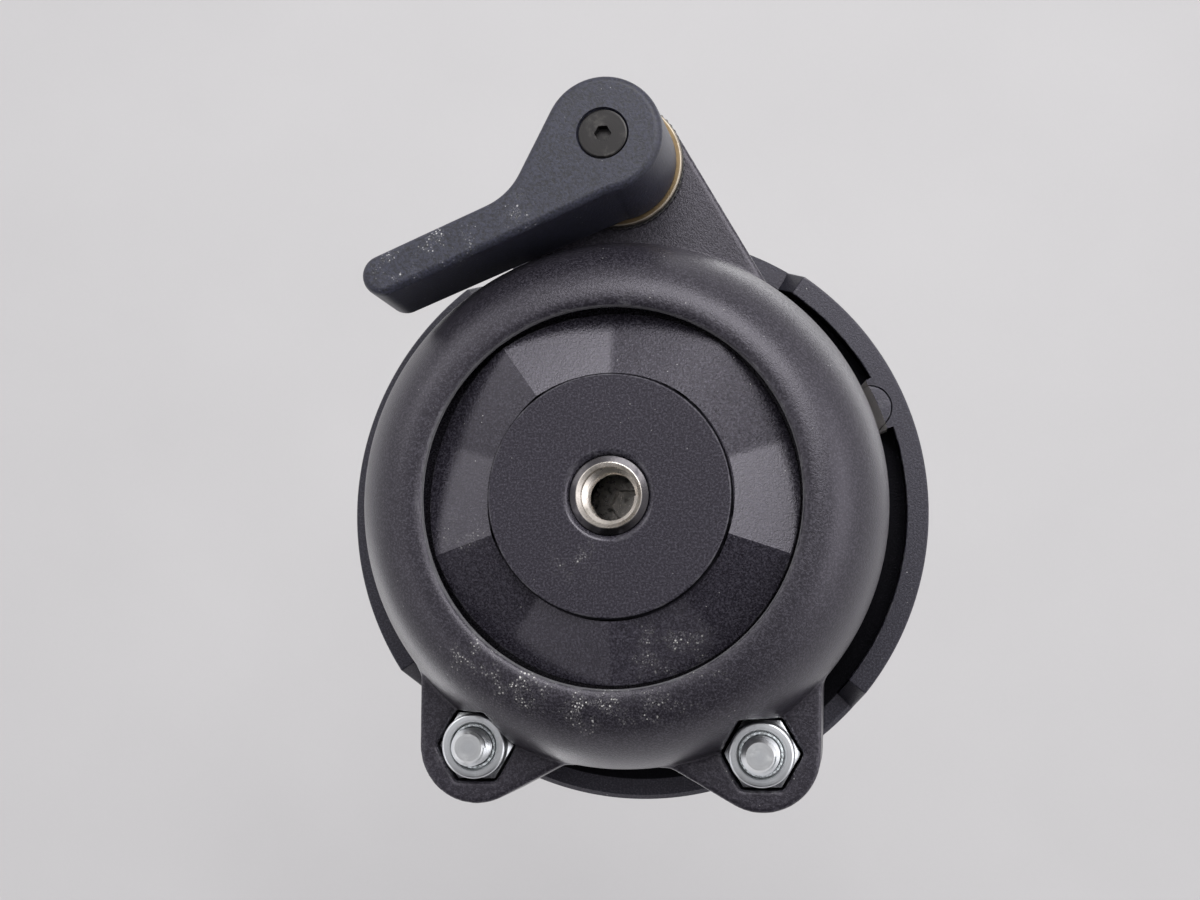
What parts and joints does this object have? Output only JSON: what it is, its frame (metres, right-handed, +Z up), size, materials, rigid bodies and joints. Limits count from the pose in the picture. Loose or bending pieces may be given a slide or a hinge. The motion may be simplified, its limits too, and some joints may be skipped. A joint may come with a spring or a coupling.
{
  "type": "camera leveler",
  "caption": "Levelling base for a tripod: a camera plate on a clamped ball that tilts, pans and is locked by a side lever, with a bubble level in its rim.",
  "frame": {"origin": "bottom centre of the bounding box: on the plane of the base's flat hub face, with the ball's axis 9.645 mm towards +Y", "axes": "+Z up, out of the camera stud; -Y towards the lock lever; +Y towards the two hinge bolts"},
  "size_m": [0.1056, 0.1248, 0.0772],
  "materials": {
    "cast_black": "fine black powder coat on a die casting",
    "ring_black": "satin black powder coat on a die casting",
    "lever_grey": "fine grained, glass filled",
    "zinc": "bright zinc plate",
    "steel": "turned, bare",
    "black_steel": "black oxide",
    "brass": "turned, bare",
    "polymer": "moulded, low friction",
    "nylon": "natural nylon",
    "rubber": "ribbed",
    "glass": "clear",
    "fluid": "yellow green liquid",
    "air": "bubble"
  },
  "bodies": {
    "base": {"ball_base": "cast_black", "base_bush": "steel"},
    "tilt_band": {"lower_friction_band": "polymer"},
    "pan_ring": {"upper_friction_ring": "polymer"},
    "head": {"top_plate": "cast_black", "platform_pad": "rubber", "camera_stud": "steel", "stud_bolt": "steel", "hinge_bolt_left": "zinc", "hinge_washer_left": "zinc", "hinge_nut_left": "zinc", "nut_lock_ring_left": "nylon", "hinge_bolt_right": "zinc", "hinge_washer_right": "zinc", "hinge_nut_right": "zinc", "nut_lock_ring_right": "nylon", "level_cup": "black_steel", "level_vial": "glass", "level_fluid": "fluid", "level_bubble": "air", "clamp_stud": "zinc", "stud_nut": "zinc", "clamp_spring": "steel"},
    "clamp": {"clamp_ring": "ring_black", "thrust_washer": "polymer", "brass_washer": "brass"},
    "lever": {"lock_lever": "lever_grey", "lever_insert": "steel", "lever_screw": "black_steel"}
  },
  "joints": [
    {"name": "tilt_sideways", "type": "hinge", "parent": "base", "child": "tilt_band", "pos_m": [0, 0.00965, 0.026], "axis": [0, 1, 0], "range_deg": [-10, 10]},
    {"name": "tilt_forward", "type": "hinge", "parent": "tilt_band", "child": "pan_ring", "pos_m": [0, 0.00965, 0.026], "axis": [1, 0, 0], "range_deg": [-10, 10]},
    {"name": "pan", "type": "hinge", "parent": "pan_ring", "child": "head", "pos_m": [0, 0.00965, 0.026], "axis": [0, 0, 1], "continuous": true},
    {"name": "clamp_closing", "type": "hinge", "parent": "head", "child": "clamp", "pos_m": [-0.00081, 0.05164, 0.0223], "axis": [-0.9998, -0.0192, 0], "range_deg": [0, 0.14]},
    {"name": "lever_turn", "type": "hinge", "parent": "clamp", "child": "lever", "pos_m": [-0.00106, -0.05095, 0.01], "axis": [0, 0, 1], "range_deg": [0, 70]}
  ],
  "couplings": [
    {"joint": "clamp_closing", "follows": "lever_turn", "ratio": 0.00195}
  ]
}
